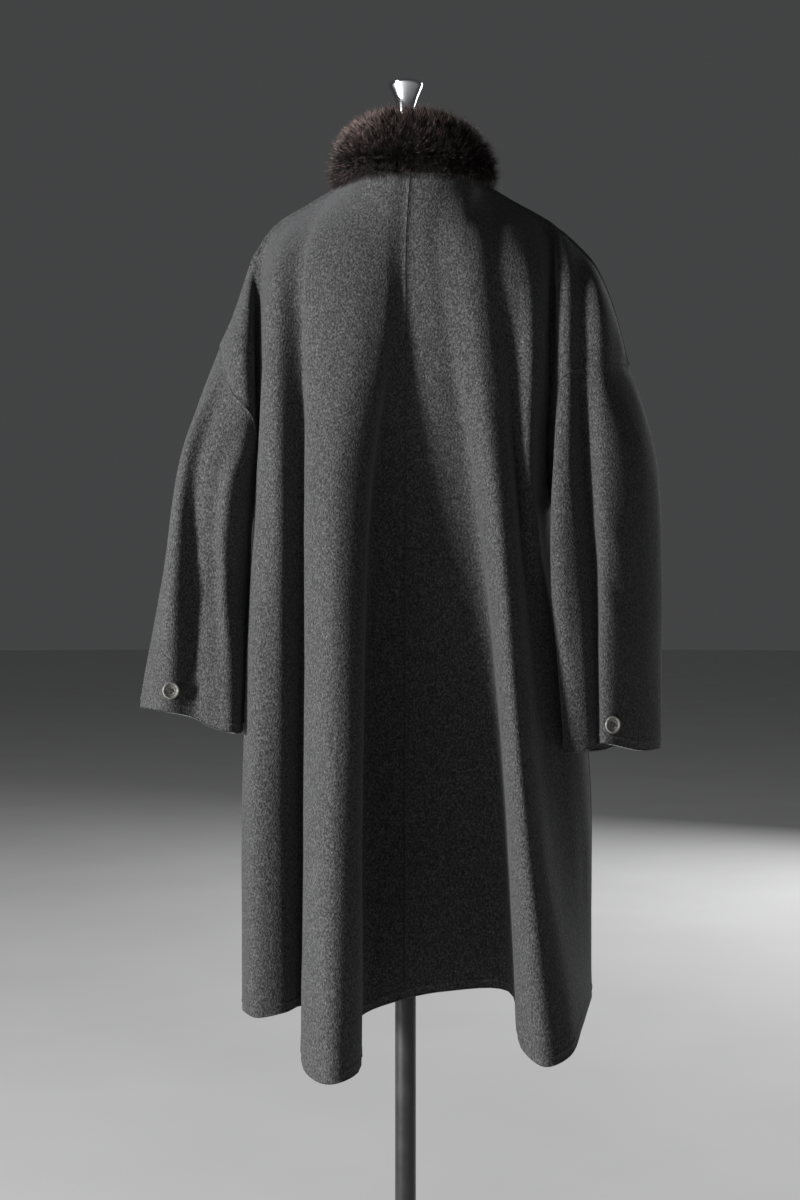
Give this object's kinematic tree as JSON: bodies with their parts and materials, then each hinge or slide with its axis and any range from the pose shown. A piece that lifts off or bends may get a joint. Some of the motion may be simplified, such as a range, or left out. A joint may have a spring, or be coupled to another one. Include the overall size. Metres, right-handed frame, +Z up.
{
  "type": "fur-trimmed swing coat on a limbless dress form with a stand",
  "caption": "Wide wool swing coat with drop shoulders, folded back, buttoned cuffs and a standing fur collar, carried by a limbless dress form on a pole with a round base.",
  "frame": {"origin": "on the floor under the round base, on the axis of the pole", "axes": "+Z up, +Y out of the back of the coat, +X to the wearer's left"},
  "size_m": [0.626, 0.393, 1.5631],
  "materials": {
    "wool": "napped melton, matt",
    "fur": "long-haired, dark brown with pale tips",
    "button": "satin horn-like plastic",
    "form_cover": "plain jersey, matt",
    "neck_cap": "satin black",
    "knob": "polished",
    "stand": "satin black"
  },
  "bodies": {
    "root": {"back_left": "wool", "front_left": "wool", "sleeve_left": "wool", "back_right": "wool", "front_right": "wool", "sleeve_right": "wool", "pocket_left": "wool", "pocket_right": "wool", "collar_fur": "fur", "cuff_button_left": "button", "cuff_button_right": "button", "front_button_1": "button", "front_button_2": "button", "front_button_3": "button", "form_torso": "form_cover", "form_neck_cap": "neck_cap", "form_knob": "knob", "stand_pole": "stand", "stand_socket": "stand", "stand_base": "stand"}
  },
  "joints": []
}
